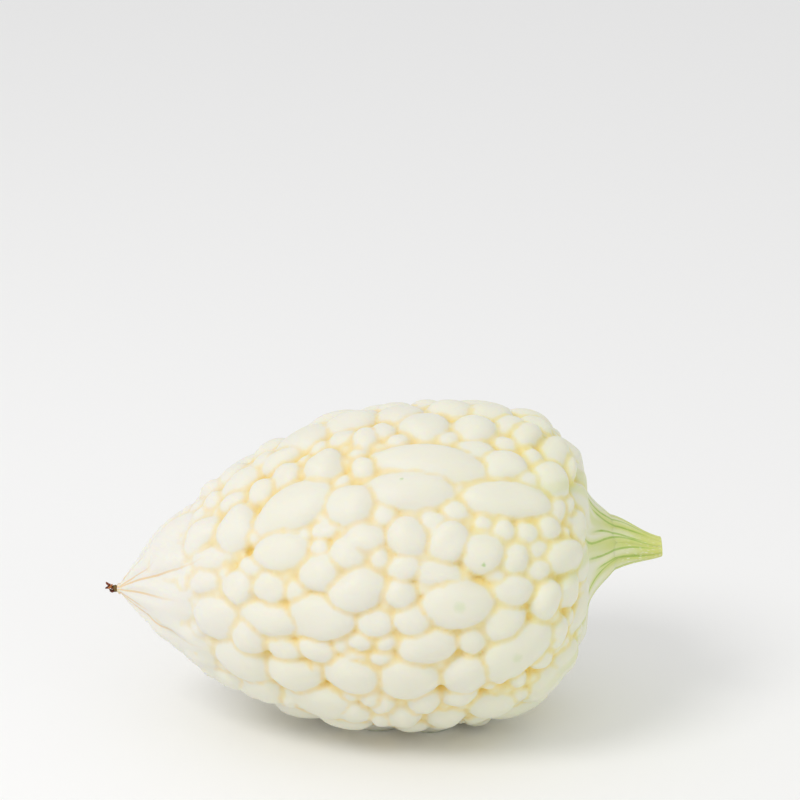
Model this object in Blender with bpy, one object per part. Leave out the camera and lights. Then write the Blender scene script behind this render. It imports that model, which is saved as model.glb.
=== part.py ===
"""A whole white bitter gourd lying on its side.

The fruit is one solid with a warty skin. Its cut stalk seats on the flared end of the shoulder, and the dry
end of the flower sits on the blossom tip. +X runs towards the stalk, +Z is up, and the gourd rests on z = 0
with the middle of its box over the origin.
"""

import math
import random

import bmesh
import bpy
import numpy as np
from mathutils import Matrix, Vector, noise

# ---------------------------------------------------------------- driving dimensions, in metres

FRUIT_LENGTH = 0.1425         # blossom tip to the face of the shoulder
FRUIT_DIAMETER = 0.1020       # over the crowns of the warts, at the widest
WIDEST_SHARE = 0.625          # where the widest section lies, as a share of the length from the tip
TIP_TAPER = 1.62              # 1 is a round end, 2 is a drawn-out cone
TIP_BLUNTNESS = 0.0012        # size of the small round end of the tip
SHOULDER_SQUARENESS = 2.3     # 2 is round, more is squarer
SHOULDER_FULLNESS = 0.225     # 0.5 is round, less holds the width closer to the end face
SHOULDER_LEAN = 0.07          # how far the shoulder leans forward, as a share of the height over the axis

FLARE_FOOT_DIAMETER = 0.0380  # where the shoulder turns out into the neck below the stalk
NECK_LENGTH = 0.0078          # shoulder face to the seat of the stalk
NECK_RISE = 0.0031            # the middle of the neck stands this far above the axis
SEAT_DIAMETER = 0.0178        # the seat, as wide as the foot of the stalk

STALK_LENGTH = 0.0140         # seat to cut end
STALK_CUT_DIAMETER = 0.0060
STALK_TAPER = 1.15            # 1 is a straight cone, more is hollower
STALK_BEND = 0.0026           # how far the cut end hangs below the axis
RIB_COUNT = 9
RIB_DEPTH = 0.0009

STYLE_LENGTH = 0.0026         # dry end of the flower
STYLE_DIAMETER = 0.0024

WART_HEIGHT = 0.0058          # crown of a wide wart above the skin between the warts
WART_SPREAD = 1.35            # square of the reach of a wart's foot, in its own half sizes
WART_FULLNESS = 0.8           # 0.5 is half an egg, 1 is a soft mound
FULL_HEIGHT_WIDTH = 0.0130    # warts at least this wide reach the full height
LOWEST_SHARE = 0.30           # what is left of the height on the narrowest
LOPSIDEDNESS = 0.0009         # how far the body strays from a turned shape
LOPSIDED_SPAN = 0.045         # size of one such swelling

TILT = math.radians(4.5)      # the tip lies lower than the stalk
REST_FLAT = 0.0017            # how far the four lowest warts are pressed flat by the table
REST_SPAN_ALONG = 0.0200      # between the middles of those four warts, along the gourd
REST_SPAN_ACROSS = 0.0190     # and across it
REST_WART_LENGTH = 0.0190
REST_WART_WIDTH = 0.0160
REST_PLACE = 0.0845           # middle of the four, from the blossom tip
SEAT_GAP = 0.0003             # between the fruit and the pieces that sit on it

# mesh fineness
SEGMENTS = 84
RINGS = 52
SEAT_RINGS = 2
STALK_SEGMENTS = 36
STALK_RINGS = 9
STYLE_SEGMENTS = 10
STYLE_RINGS = 3

# ---------------------------------------------------------------- the warts chosen by hand
# Place along the fruit in hundredths of its length from the tip, place around it in degrees from the front
# (90 is the top), then length, width in millimetres and turn from the axis in degrees.

NAMED_WARTS = (
    (39, 50, 26, 16, 18), (51.5, 46, 14, 14, 0), (63.5, 49, 23, 14, -5), (67.5, 60, 31, 14, -12),
    (83, 45, 27, 12, -6), (82.5, 60, 14, 11, -5), (19.5, 22, 12, 8, 0), (21.5, 36, 16, 8, -5),
    (19, 55, 14, 11, 30), (26.5, 49, 13, 17, -15), (21.5, 80, 7, 9, 20), (26, 68, 10, 8, 0),
    (21, 99, 9, 14, 30), (28, 80, 16, 11, 8), (25.5, 99, 11, 11, 30), (32.5, 65, 9, 10, 0),
    (37, 81, 14, 10, 15), (33, 86, 10, 10, 30), (38, 68, 10, 11, 0), (42, 90, 18, 17, 12),
    (46, 66, 12, 14, 0), (54.5, 61, 7, 9, 0), (52, 92, 16, 16, 8), (50.5, 80, 9, 8, 0), (55, 76, 7, 11, 0),
    (62, 93, 14, 17, 0), (66.5, 81, 14, 16, 3), (72.5, 97, 14, 14, -5), (76.5, 78, 12, 16, 0),
    (76.5, 67, 12, 8, -8), (61.5, 72, 7, 8, 0), (80, 95, 14, 16, -15), (84, 84, 9, 12, -25),
    (58.5, 80, 7, 10, 0), (83, 72, 9, 6, -20), (87.5, 79, 9, 15, -20), (88.5, 66, 7, 8, -20),
    (94, 76, 12, 17, -15), (93, 57, 15, 13, -25), (96.5, 71, 8, 11, 0), (36, 32, 18, 12, -10),
    (44, 22, 12, 11, 0), (50.5, 28, 11, 10, 0), (46, 38, 9, 6, 0), (33.5, 17, 12, 9, 5),
    (26.5, 18, 11, 11, 0), (29.5, 27, 10, 7, -15), (54, 33, 12, 9, -15), (51.5, 15, 18, 13, 5),
    (62.5, 32, 11, 12, 10), (67.5, 36, 8, 8, 10), (72, 40, 8, 7, -20), (70.5, 29, 10, 13, -30),
    (68, 19, 13, 8, -8), (60.5, 13, 9, 9, 10), (72, 8, 20, 15, -5), (77, 25, 12, 12, 0),
    (81.5, 32, 8, 8, 0), (84, 22, 9, 10, -15), (89, 25, 9, 6, 0), (89, 17, 9, 7, -10), (91.5, 34, 10, 8, 0),
    (95.5, 21, 20, 11, 0), (44, 5, 21, 14, -5), (32.5, 3, 19, 11, -8), (21.5, 0, 16, 14, -20),
    (28, -7, 12, 13, -20), (34.5, -10, 11, 9, -5), (42, -9, 14, 9, -12), (51.5, -4, 9, 7, 0),
    (50, -11, 9, 6, 0), (55.5, -11, 8, 6, 0), (55, 3, 10, 9, -5), (62.5, 3, 11, 10, 0),
    (65.5, -7, 18, 12, 8), (74.5, -6, 8, 9, 0), (83, 10, 14, 9, -5), (90.5, 4, 10, 13, -25),
    (81.5, -1, 13, 11, 10), (84.5, -15, 25, 17, 25), (90, -25, 8, 8, 40), (16, -28, 18, 11, -30),
    (17, -44, 13, 13, -35), (25.5, -25, 20, 17, -15), (19, -55, 10, 13, -35), (22, -55, 13, 14, -35),
    (29.5, -45, 14, 17, -20), (26.5, -55, 11, 11, -25), (36, -24, 18, 15, -5), (48.5, -20, 17, 14, -5),
    (41.5, -40, 22, 17, -8), (35, -46, 6, 11, 0), (52.5, -31, 7, 10, -20), (61, -21, 19, 17, 8),
    (55, -34, 7, 11, -10), (73, -22, 15, 16, 5), (71.5, -33, 11, 10, 0), (64, -34, 10, 12, 0),
    (59, -44, 12, 16, 0), (68.5, -49, 13, 16, 0), (49, -43, 10, 15, -10), (54.5, -46, 7, 13, 0),
    (80.5, -25, 6, 8, 0), (84.5, -31, 6, 9, 0), (79, -45, 15, 17, 20), (85, -42, 6, 10, 30),
    (92.5, -43, 19, 17, 35), (89, -50, 10, 13, 30), (93.5, -14, 8, 11, -5), (96, -40, 12, 17, 20),
)

# The rest are strewn, big ones first: tries, then the least and most length and width in millimetres.
STREWN_WARTS = (
    (1500, 17, 26, 11, 16),
    (1800, 12, 17, 9, 12.5),
)
STREWN_TURN = 24              # degrees either way
STREWN_CLOSENESS = 0.97       # below 1 the warts press into each other
FILLING_TRIES = 9000          # then small ones fill what room is left between them
FILLING_SIZES = (4.2, 10.5)   # least and most width in millimetres
FILLING_CLOSENESS = 0.90
WARTS_START = 0.11            # share of the skin's length from the tip where the warts begin
WARTS_END = 0.006             # how far before the foot of the neck they end
WART_SEED = 11
SMALLEST_SOLID_WART = 0.0075  # narrower warts are below the fineness of this solid
GROOVE_FILL = 0.36            # and fill the grooves to this share of the full height

MM = 0.001


def smooth_step(low, high, value):
    share = np.clip((value - low) / (high - low), 0.0, 1.0)
    return share * share * (3.0 - 2.0 * share)


def bezier(start, start_handle, end_handle, end, count):
    """Points along a cubic curve, without its first point."""
    t = np.linspace(0.0, 1.0, count + 1)[1:, None]
    points = [np.array(p) for p in (start, start_handle, end_handle, end)]
    return ((1 - t) ** 3 * points[0] + 3 * (1 - t) ** 2 * t * points[1]
            + 3 * (1 - t) * t ** 2 * points[2] + t ** 3 * points[3])


class Outline:
    """The fruit's side outline over the crowns of its warts, read by distance along the skin."""

    def __init__(self):
        radius = FRUIT_DIAMETER / 2
        widest = FRUIT_LENGTH * WIDEST_SHARE
        swing = np.linspace(0.0, math.pi / 2, 160)
        along = widest * (1 - np.cos(swing))
        blunt = TIP_BLUNTNESS * np.sqrt(1 - np.exp(-along / TIP_BLUNTNESS)) * np.cos(swing) ** 2
        tip_side = np.column_stack((along, radius * np.sin(swing) ** TIP_TAPER + blunt))

        reach = np.sin(swing[1:])
        shoulder = np.column_stack((
            widest + (FRUIT_LENGTH - widest) * reach,
            radius * np.clip(1 - reach ** SHOULDER_SQUARENESS, 0, 1) ** SHOULDER_FULLNESS,
        ))
        shoulder = shoulder[shoulder[:, 1] > FLARE_FOOT_DIAMETER / 2]

        foot = shoulder[-1]
        seat = np.array((FRUIT_LENGTH + NECK_LENGTH, SEAT_DIAMETER / 2))
        drop = foot[1] - seat[1]
        run = seat[0] - foot[0]
        neck = bezier(foot, foot + (0.10 * run, -0.45 * drop), seat + (-0.35 * run, 0.30 * drop), seat, 40)

        self.points = np.vstack((tip_side, shoulder, neck))
        steps = np.linalg.norm(np.diff(self.points, axis=0), axis=1)
        self.skin = np.concatenate(((0.0,), np.cumsum(steps)))
        self.length = self.skin[-1]
        self.foot_skin = self.skin[len(tip_side) + len(shoulder) - 1]
        slope = np.gradient(self.points, self.skin, axis=0)
        slope /= np.linalg.norm(slope, axis=1)[:, None]
        self.normals = np.column_stack((-slope[:, 1], slope[:, 0]))

    def at(self, skin):
        """Along, radius, and the two parts of the outward normal, at distances along the skin."""
        columns = (self.points[:, 0], self.points[:, 1], self.normals[:, 0], self.normals[:, 1])
        return [np.interp(skin, self.skin, column) for column in columns]

    def skin_of(self, along):
        """Distance along the skin of a place along the axis, up to the shoulder face."""
        count = int(np.searchsorted(self.skin, self.foot_skin)) + 1
        return float(np.interp(along, self.points[:count, 0], self.skin[:count]))

    def relief(self, skin):
        """How strongly the warts stand out: low at the drawn-out tip and on the neck."""
        tip = 0.10 * smooth_step(0.0, 0.05 * self.length, skin)
        tip += 0.90 * smooth_step(0.08 * self.length, 0.30 * self.length, skin)
        neck = 1.0 - 0.90 * smooth_step(self.foot_skin - 0.018, self.foot_skin + 0.004, skin)
        return tip * neck


def half_size(long, wide, turn, direction):
    """How far an ellipse reaches in a direction, all angles from the axis."""
    angle = direction - turn
    return long * wide / np.sqrt((wide * np.cos(angle)) ** 2 + (long * np.sin(angle)) ** 2)


def neighbours(outline, warts, skin, around):
    """Distances and directions from a place to the middles of the warts, and how far each reaches back."""
    taken = np.array(warts)
    radius = np.interp(skin, outline.skin, outline.points[:, 1])
    radii = (radius + np.interp(taken[:, 0], outline.skin, outline.points[:, 1])) / 2
    across = (taken[:, 1] - around + math.pi) % (2 * math.pi) - math.pi
    step = np.column_stack((taken[:, 0] - skin, radii * across))
    direction = np.arctan2(step[:, 1], step[:, 0])
    reach_back = half_size(taken[:, 2], taken[:, 3], taken[:, 4], direction)
    return np.linalg.norm(step, axis=1), direction, reach_back


def lay_out_warts(outline):
    """Rows of skin distance, angle, half length, half width and turn of each wart."""
    warts = []
    for side in (-1, 1):
        for end in (-1, 1):
            skin = outline.skin_of(REST_PLACE + end * REST_SPAN_ALONG / 2)
            around = -math.pi / 2 + side * math.asin(REST_SPAN_ACROSS / FRUIT_DIAMETER)
            warts.append((skin, around, REST_WART_LENGTH / 2, REST_WART_WIDTH / 2, 0.0))
    for along, around, long, wide, turn in NAMED_WARTS:
        skin = outline.skin_of(along / 100 * FRUIT_LENGTH)
        warts.append((skin, math.radians(around), long / 2 * MM, wide / 2 * MM, math.radians(turn)))

    dice = random.Random(WART_SEED)
    first = WARTS_START * outline.length
    last = outline.foot_skin - WARTS_END
    for tries, long_least, long_most, wide_least, wide_most in STREWN_WARTS:
        for _ in range(tries):
            skin = dice.uniform(first, last)
            around = dice.uniform(-math.pi, math.pi)
            long = dice.uniform(long_least, long_most) / 2 * MM
            wide = min(dice.uniform(wide_least, wide_most) / 2 * MM, long)
            turn = math.radians(dice.uniform(-STREWN_TURN, STREWN_TURN))
            distance, direction, reach = neighbours(outline, warts, skin, around)
            if (distance > STREWN_CLOSENESS * (reach + half_size(long, wide, turn, direction))).all():
                warts.append((skin, around, long, wide, turn))

    least, most = (size / 2 * MM for size in FILLING_SIZES)
    for _ in range(FILLING_TRIES):
        skin = dice.uniform(first, last)
        around = dice.uniform(-math.pi, math.pi)
        distance, _, reach = neighbours(outline, warts, skin, around)
        room = (distance / FILLING_CLOSENESS - reach).min()
        if room > least:
            wide = min(room, most)
            turn = dice.uniform(-math.pi, math.pi)
            warts.append((skin, around, wide * dice.uniform(1.0, 1.18), wide, turn))
    return warts


def wart_heights(outline, warts, skin, around):
    """Height of the warty skin above the skin between the warts, at each place."""
    radius = np.interp(skin, outline.skin, outline.points[:, 1])
    height = np.full_like(skin, GROOVE_FILL * WART_HEIGHT)
    for wart_skin, wart_around, long, wide, turn in warts:
        if 2 * wide < SMALLEST_SOLID_WART:
            continue
        near = np.abs(skin - wart_skin) < 1.3 * long
        across = (around[near] - wart_around + math.pi) % (2 * math.pi) - math.pi
        along = skin[near] - wart_skin
        across = across * radius[near]
        u = (along * math.cos(turn) + across * math.sin(turn)) / long
        v = (across * math.cos(turn) - along * math.sin(turn)) / wide
        breadth = min(2 * wide / FULL_HEIGHT_WIDTH, 1.0)
        crown = WART_HEIGHT * (LOWEST_SHARE + (1 - LOWEST_SHARE) * breadth)
        dome = crown * np.clip(1 - (u * u + v * v) / WART_SPREAD, 0, 1) ** WART_FULLNESS
        height[near] = np.maximum(height[near], dome)
    return height


def ribs(around):
    """Ridges of the stalk, from 0 in a furrow to 1 on a ridge."""
    return np.abs(np.cos(around * RIB_COUNT / 2)) ** 0.8


def axis_lift(along):
    """The axis turns up a little at the neck and hangs from there to the cut end."""
    seat = FRUIT_LENGTH + NECK_LENGTH
    neck = NECK_RISE * smooth_step(0.92 * FRUIT_LENGTH, seat, along)
    return neck - STALK_BEND * smooth_step(seat, seat + STALK_LENGTH, along)


def to_space(along, radius, around):
    """Points from places along the axis, out from it and around it: 0 is the front, a quarter is the top."""
    rise = radius * np.sin(around)
    leaning = smooth_step(0.45 * FRUIT_LENGTH, 0.95 * FRUIT_LENGTH, along)
    leaning *= 1 - smooth_step(FRUIT_LENGTH, FRUIT_LENGTH + NECK_LENGTH, along)
    return np.column_stack((
        along + SHOULDER_LEAN * leaning * rise,
        -radius * np.cos(around),
        rise + axis_lift(along),
    ))


def skin_points(outline, warts, skin, around):
    along, radius, normal_along, normal_out = outline.at(skin)
    relief = outline.relief(skin)
    lift = relief * (wart_heights(outline, warts, skin, around) - WART_HEIGHT)
    neck = smooth_step(outline.foot_skin - 0.006, outline.length, skin)
    lift += neck * RIB_DEPTH * (ribs(around) - 1)
    swell = np.array([
        noise.noise(Vector((a, r * math.cos(t), r * math.sin(t))) / LOPSIDED_SPAN)
        for a, r, t in zip(along, radius, around)
    ])
    lift += LOPSIDEDNESS * swell * (1 - neck)
    return to_space(along + normal_along * lift, np.maximum(radius + normal_out * lift, 0.0), around)


def new_object(name, mesh, collection, material):
    piece = bpy.data.objects.new(name, mesh)
    collection.objects.link(piece)
    mesh.materials.append(material)
    mesh.shade_smooth()
    return piece


def new_material(name, colour, roughness):
    material = bpy.data.materials.new(name)
    material.use_nodes = True
    shader = material.node_tree.nodes["Principled BSDF"]
    shader.inputs["Base Color"].default_value = (*colour, 1.0)
    shader.inputs["Roughness"].default_value = roughness
    shader.inputs["Metallic"].default_value = 0.0
    return material


def build_fruit(collection, outline):
    """A globe whose circles of latitude are laid out along the outline, then raised into warts."""
    form = bmesh.new()
    bmesh.ops.create_uvsphere(form, u_segments=SEGMENTS, v_segments=RINGS + SEAT_RINGS, radius=1.0)
    mesh = bpy.data.meshes.new("fruit")
    form.to_mesh(mesh)
    form.free()

    ball = np.empty(3 * len(mesh.vertices))
    mesh.vertices.foreach_get("co", ball)
    ball = ball.reshape(-1, 3)
    ring = np.arccos(np.clip(ball[:, 2], -1, 1)) / math.pi * (RINGS + SEAT_RINGS)
    around = np.arctan2(ball[:, 1], ball[:, 0])
    skin = np.minimum(ring / RINGS, 1.0) * outline.length

    places = skin_points(outline, lay_out_warts(outline), skin, around)
    on_seat = ring > RINGS + 0.5
    inward = (RINGS + SEAT_RINGS - ring[on_seat]) / SEAT_RINGS
    seat = to_space(np.full(inward.shape, FRUIT_LENGTH + NECK_LENGTH),
                    inward * SEAT_DIAMETER / 2 + inward * RIB_DEPTH * (ribs(around[on_seat]) - 1),
                    around[on_seat])
    places[on_seat] = seat
    mesh.vertices.foreach_set("co", places.ravel())
    mesh.flip_normals()
    mesh.update()
    return new_object("fruit", mesh, collection, new_material("waxy_skin", (0.87, 0.86, 0.76), 0.38))


def build_ringed_tube(name, rings, collection, material):
    """A closed tube skinned ring by ring by extrusion, with flat ends."""
    form = bmesh.new()
    start = bmesh.ops.create_circle(form, segments=len(rings[0]), radius=1.0)["verts"]
    form.verts.ensure_lookup_table()
    edges = list(form.edges)
    for vert, place in zip(start, rings[0]):
        vert.co = place
    for ring in rings[1:]:
        grown = bmesh.ops.extrude_edge_only(form, edges=edges)["geom"]
        verts = [item for item in grown if isinstance(item, bmesh.types.BMVert)]
        edges = [item for item in grown if isinstance(item, bmesh.types.BMEdge)]
        for vert, place in zip(verts, ring):
            vert.co = place
    bmesh.ops.holes_fill(form, edges=[edge for edge in form.edges if edge.is_boundary], sides=0)
    bmesh.ops.recalc_face_normals(form, faces=form.faces)
    mesh = bpy.data.meshes.new(name)
    form.to_mesh(mesh)
    form.free()
    return new_object(name, mesh, collection, material)


def build_stalk(collection):
    """The cut stalk: a ribbed foot as wide as its seat, narrowing to a ribbed shank."""
    around = np.linspace(0, 2 * math.pi, STALK_SEGMENTS, endpoint=False)
    seat = FRUIT_LENGTH + NECK_LENGTH
    rings = []
    for share in np.linspace(0, 1, STALK_RINGS):
        settle = (1 - share) ** STALK_TAPER
        radius = STALK_CUT_DIAMETER / 2 + (SEAT_DIAMETER - STALK_CUT_DIAMETER) / 2 * settle
        depth = RIB_DEPTH * (0.45 + 0.55 * settle)
        along = seat + SEAT_GAP + share * (STALK_LENGTH - SEAT_GAP)
        rings.append(to_space(np.full(around.shape, along), radius + depth * (ribs(around) - 1), around))
    material = new_material("green_stalk", (0.62, 0.68, 0.24), 0.55)
    return build_ringed_tube("stem", rings, collection, material)


def build_style(collection):
    """The dry end of the flower: a short shrivelled stub, wider and ragged where it broke off."""
    around = np.linspace(0, 2 * math.pi, STYLE_SEGMENTS, endpoint=False)
    rings = []
    for share in np.linspace(0, 1, STYLE_RINGS):
        radius = STYLE_DIAMETER / 2 * (0.62 + 0.38 * share)
        ragged = 1 + 0.16 * share * np.cos(3 * around + 0.6)
        along = -SEAT_GAP - share * STYLE_LENGTH * (1 + 0.18 * np.cos(2 * around + 1.1))
        places = to_space(along, radius * ragged, around)
        places[:, 2] -= 0.25 * share * STYLE_DIAMETER
        rings.append(places)
    material = new_material("dry_flower", (0.21, 0.09, 0.04), 0.85)
    return build_ringed_tube("style_remnant", rings, collection, material)


def lay_down(pieces, frame, cutters):
    """Tilts the gourd, centres its box over the origin and lets the table press the lowest warts flat."""
    tilt = Matrix.Rotation(-TILT, 4, "Y")
    corners = np.array([tilt @ vert.co for piece in pieces for vert in piece.data.vertices])
    low = corners.min(axis=0)
    high = corners.max(axis=0)
    frame.rotation_euler = (0, -TILT, 0)
    frame.location = (-(low[0] + high[0]) / 2, -(low[1] + high[1]) / 2, -low[2] - REST_FLAT)
    for piece in pieces:
        piece.parent = frame

    form = bmesh.new()
    bmesh.ops.create_cube(form, size=1.0)
    depth = 10 * REST_FLAT
    bmesh.ops.scale(form, vec=(FRUIT_LENGTH, FRUIT_DIAMETER, depth), verts=form.verts)
    bmesh.ops.translate(form, vec=(0, 0, -depth / 2), verts=form.verts)
    mesh = bpy.data.meshes.new("table_top")
    form.to_mesh(mesh)
    form.free()
    table = bpy.data.objects.new("table_top", mesh)
    table.hide_render = True
    table.display_type = "WIRE"
    cutters.objects.link(table)

    press = pieces[0].modifiers.new("pressed flat", "BOOLEAN")
    press.operation = "DIFFERENCE"
    press.solver = "EXACT"
    press.object = table


for old in list(bpy.data.objects):
    bpy.data.objects.remove(old)

gourd = bpy.data.collections.new("bitter_gourd")
cutters = bpy.data.collections.new("gourd_cutters")
bpy.context.scene.collection.children.link(gourd)
bpy.context.scene.collection.children.link(cutters)
gourd_axis = bpy.data.objects.new("gourd_axis", None)
gourd.objects.link(gourd_axis)

fruit = build_fruit(gourd, Outline())
stem = build_stalk(gourd)
style = build_style(gourd)
lay_down((fruit, stem, style), gourd_axis, cutters)
bpy.context.view_layer.update()
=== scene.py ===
"""A whole white bitter gourd lying on its side on a pale table, in soft daylight from a studio window."""

import math
import random

import bmesh
import bpy
import numpy as np
from mathutils import Matrix, Vector, noise
from mathutils.kdtree import KDTree


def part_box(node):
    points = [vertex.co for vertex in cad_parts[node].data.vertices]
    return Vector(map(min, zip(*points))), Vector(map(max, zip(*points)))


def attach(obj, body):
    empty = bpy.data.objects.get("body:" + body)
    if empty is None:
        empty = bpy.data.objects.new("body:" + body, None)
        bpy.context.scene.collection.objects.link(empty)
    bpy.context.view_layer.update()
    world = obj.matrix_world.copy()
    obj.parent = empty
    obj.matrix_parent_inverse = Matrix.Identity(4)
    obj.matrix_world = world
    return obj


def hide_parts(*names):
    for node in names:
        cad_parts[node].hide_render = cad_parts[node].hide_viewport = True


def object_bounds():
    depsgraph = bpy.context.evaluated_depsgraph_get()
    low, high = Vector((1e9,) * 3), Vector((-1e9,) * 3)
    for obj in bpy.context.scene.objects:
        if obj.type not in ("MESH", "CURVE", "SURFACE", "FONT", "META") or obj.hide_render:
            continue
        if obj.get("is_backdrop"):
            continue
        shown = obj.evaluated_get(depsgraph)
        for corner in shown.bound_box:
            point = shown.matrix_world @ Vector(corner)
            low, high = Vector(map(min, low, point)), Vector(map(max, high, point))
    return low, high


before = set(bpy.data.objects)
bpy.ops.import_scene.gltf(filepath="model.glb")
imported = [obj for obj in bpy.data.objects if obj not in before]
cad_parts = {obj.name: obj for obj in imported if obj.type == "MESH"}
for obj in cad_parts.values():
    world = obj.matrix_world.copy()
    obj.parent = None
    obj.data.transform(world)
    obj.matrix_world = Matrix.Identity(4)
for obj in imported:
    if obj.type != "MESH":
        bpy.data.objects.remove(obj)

cad_low, cad_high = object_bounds()

# ---------------------------------------------------------------- the fruit
# One grown piece: firm, juicy flesh under a thin waxy ivory skin, raised all over into packed warts like
# river pebbles, with golden skin between them; that gold is painted partly as the skin's own colour and
# partly as painted glow and shade in the seams and pits. The blossom end is drawn out smooth with fine
# creases, and the shoulder turns out into a ribbed neck that carries the stalk.

FRUIT_LENGTH = 0.1425         # blossom tip to the face of the shoulder, in metres
FRUIT_DIAMETER = 0.1020       # over the crowns of the warts, at the widest
WIDEST_SHARE = 0.625
TIP_TAPER = 1.80              # 1 is a round end, 2 is a drawn-out cone
TIP_BLUNTNESS = 0.0012        # size of the small round end of the tip
SHOULDER_SQUARENESS = 2.3     # 2 is round, more is squarer
SHOULDER_FULLNESS = 0.225
SHOULDER_LEAN = 0.07          # how far the shoulder leans forward, as a share of the height over the axis
FLARE_FOOT_DIAMETER = 0.0380
NECK_LENGTH = 0.0078
NECK_RISE = 0.0031            # the middle of the neck stands this far above the axis
SEAT_DIAMETER = 0.0178        # where the neck ends and the stalk begins
RIB_COUNT = 9
RIB_DEPTH = 0.0009
LOPSIDEDNESS = 0.0009         # how far the body strays from a turned shape
LOPSIDED_SPAN = 0.045         # and over what distance
TILT = math.radians(4.5)      # the tip lies lower than the stalk
REST_FLAT = 0.0017            # the lowest warts are pressed flat by the table
REST_SPAN_ALONG = 0.0200
REST_SPAN_ACROSS = 0.0190
REST_WART_LENGTH = 0.0190
REST_WART_WIDTH = 0.0160
REST_PLACE = 0.0845
WART_HEIGHT = 0.0058
FULL_HEIGHT_WIDTH = 0.0130    # narrower warts are lower
LOWEST_SHARE = 0.30           # down to this share of the height

# Warts with a place of their own: along in hundredths of the length from the tip, degrees around from the
# front (90 is the top), then length and width in millimetres and turn from the axis in degrees.
NAMED_WARTS = (
    (39, 50, 26, 16, 18), (51.5, 46, 14, 14, 0), (63.5, 49, 23, 14, -5), (67.5, 60, 31, 14, -12),
    (83, 45, 27, 12, -6), (82.5, 60, 14, 11, -5), (19.5, 22, 12, 8, 0), (21.5, 36, 16, 8, -5),
    (19, 55, 14, 11, 30), (26.5, 49, 13, 17, -15), (21.5, 80, 7, 9, 20), (26, 68, 10, 8, 0),
    (21, 99, 9, 14, 30), (28, 80, 16, 11, 8), (25.5, 99, 11, 11, 30), (32.5, 65, 9, 10, 0),
    (37, 81, 14, 10, 15), (33, 86, 10, 10, 30), (38, 68, 10, 11, 0), (42, 90, 18, 17, 12),
    (46, 66, 12, 14, 0), (54.5, 61, 7, 9, 0), (52, 92, 16, 16, 8), (50.5, 80, 9, 8, 0), (55, 76, 7, 11, 0),
    (62, 93, 14, 17, 0), (66.5, 81, 14, 16, 3), (72.5, 97, 14, 14, -5), (76.5, 78, 12, 16, 0),
    (76.5, 67, 12, 8, -8), (61.5, 72, 7, 8, 0), (80, 95, 14, 16, -15), (84, 84, 9, 12, -25),
    (58.5, 80, 7, 10, 0), (83, 72, 9, 6, -20), (87.5, 79, 9, 15, -20), (88.5, 66, 7, 8, -20),
    (94, 76, 12, 17, -15), (93, 57, 15, 13, -25), (96.5, 71, 8, 11, 0), (36, 32, 18, 12, -10),
    (44, 22, 12, 11, 0), (50.5, 28, 11, 10, 0), (46, 38, 9, 6, 0), (33.5, 17, 12, 9, 5),
    (26.5, 18, 11, 11, 0), (29.5, 27, 10, 7, -15), (54, 33, 12, 9, -15), (51.5, 15, 18, 13, 5),
    (62.5, 32, 11, 12, 10), (67.5, 36, 8, 8, 10), (72, 40, 8, 7, -20), (70.5, 29, 10, 13, -30),
    (68, 19, 13, 8, -8), (60.5, 13, 9, 9, 10), (72, 8, 20, 15, -5), (77, 25, 12, 12, 0),
    (81.5, 32, 8, 8, 0), (84, 22, 9, 10, -15), (89, 25, 9, 6, 0), (89, 17, 9, 7, -10), (91.5, 34, 10, 8, 0),
    (95.5, 21, 20, 11, 0), (44, 5, 21, 14, -5), (32.5, 3, 19, 11, -8), (21.5, 0, 16, 14, -20),
    (28, -7, 12, 13, -20), (34.5, -10, 11, 9, -5), (42, -9, 14, 9, -12), (51.5, -4, 9, 7, 0),
    (50, -11, 9, 6, 0), (55.5, -11, 8, 6, 0), (55, 3, 10, 9, -5), (62.5, 3, 11, 10, 0),
    (65.5, -7, 18, 12, 8), (74.5, -6, 8, 9, 0), (83, 10, 14, 9, -5), (90.5, 4, 10, 13, -25),
    (81.5, -1, 13, 11, 10), (84.5, -15, 25, 17, 25), (90, -25, 8, 8, 40), (16, -28, 18, 11, -30),
    (17, -44, 13, 13, -35), (25.5, -25, 20, 17, -15), (19, -55, 10, 13, -35), (22, -55, 13, 14, -35),
    (29.5, -45, 14, 17, -20), (26.5, -55, 11, 11, -25), (36, -24, 18, 15, -5), (48.5, -20, 17, 14, -5),
    (41.5, -40, 22, 17, -8), (35, -46, 6, 11, 0), (52.5, -31, 7, 10, -20), (61, -21, 19, 17, 8),
    (55, -34, 7, 11, -10), (73, -22, 15, 16, 5), (71.5, -33, 11, 10, 0), (64, -34, 10, 12, 0),
    (59, -44, 12, 16, 0), (68.5, -49, 13, 16, 0), (49, -43, 10, 15, -10), (54.5, -46, 7, 13, 0),
    (80.5, -25, 6, 8, 0), (84.5, -31, 6, 9, 0), (79, -45, 15, 17, 20), (85, -42, 6, 10, 30),
    (92.5, -43, 19, 17, 35), (89, -50, 10, 13, 30), (93.5, -14, 8, 11, -5), (96, -40, 12, 17, 20),
)
# soft lobes of the smooth tip, in the same terms
TIP_LOBES = (
    (11.5, 50, 14, 10, 12), (13, 14, 13, 8, -6), (12, -14, 14, 9, -14), (12.5, -46, 13, 9, -20),
    (12.5, 84, 14, 9, 14), (12, 122, 13, 9, 6), (13, 160, 14, 10, -8), (12, 200, 13, 9, 8),
    (12.5, 240, 14, 10, -6), (12, 278, 13, 8, 10),
)
# The rest are strewn, big ones first: tries, then the least and most length and width in millimetres.
STREWN_WARTS = (
    (1500, 17, 26, 11, 16),
    (1800, 12, 17, 9, 12.5),
)
STREWN_TURN = 24              # degrees either way
STREWN_CLOSENESS = 0.97       # below 1 the warts press into each other
# then small ones fill what room is left between them: tries, least and most width in millimetres
FILLINGS = (
    (9000, 4.2, 10.5),
    (5000, 2.4, 4.2),
)
FILLING_CLOSENESS = 0.90
WARTS_START = 0.11            # share of the skin's length from the tip where the warts begin
WARTS_END = 0.006             # how far before the foot of the neck they end
WART_SEED = 11
MM = 0.001

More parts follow.
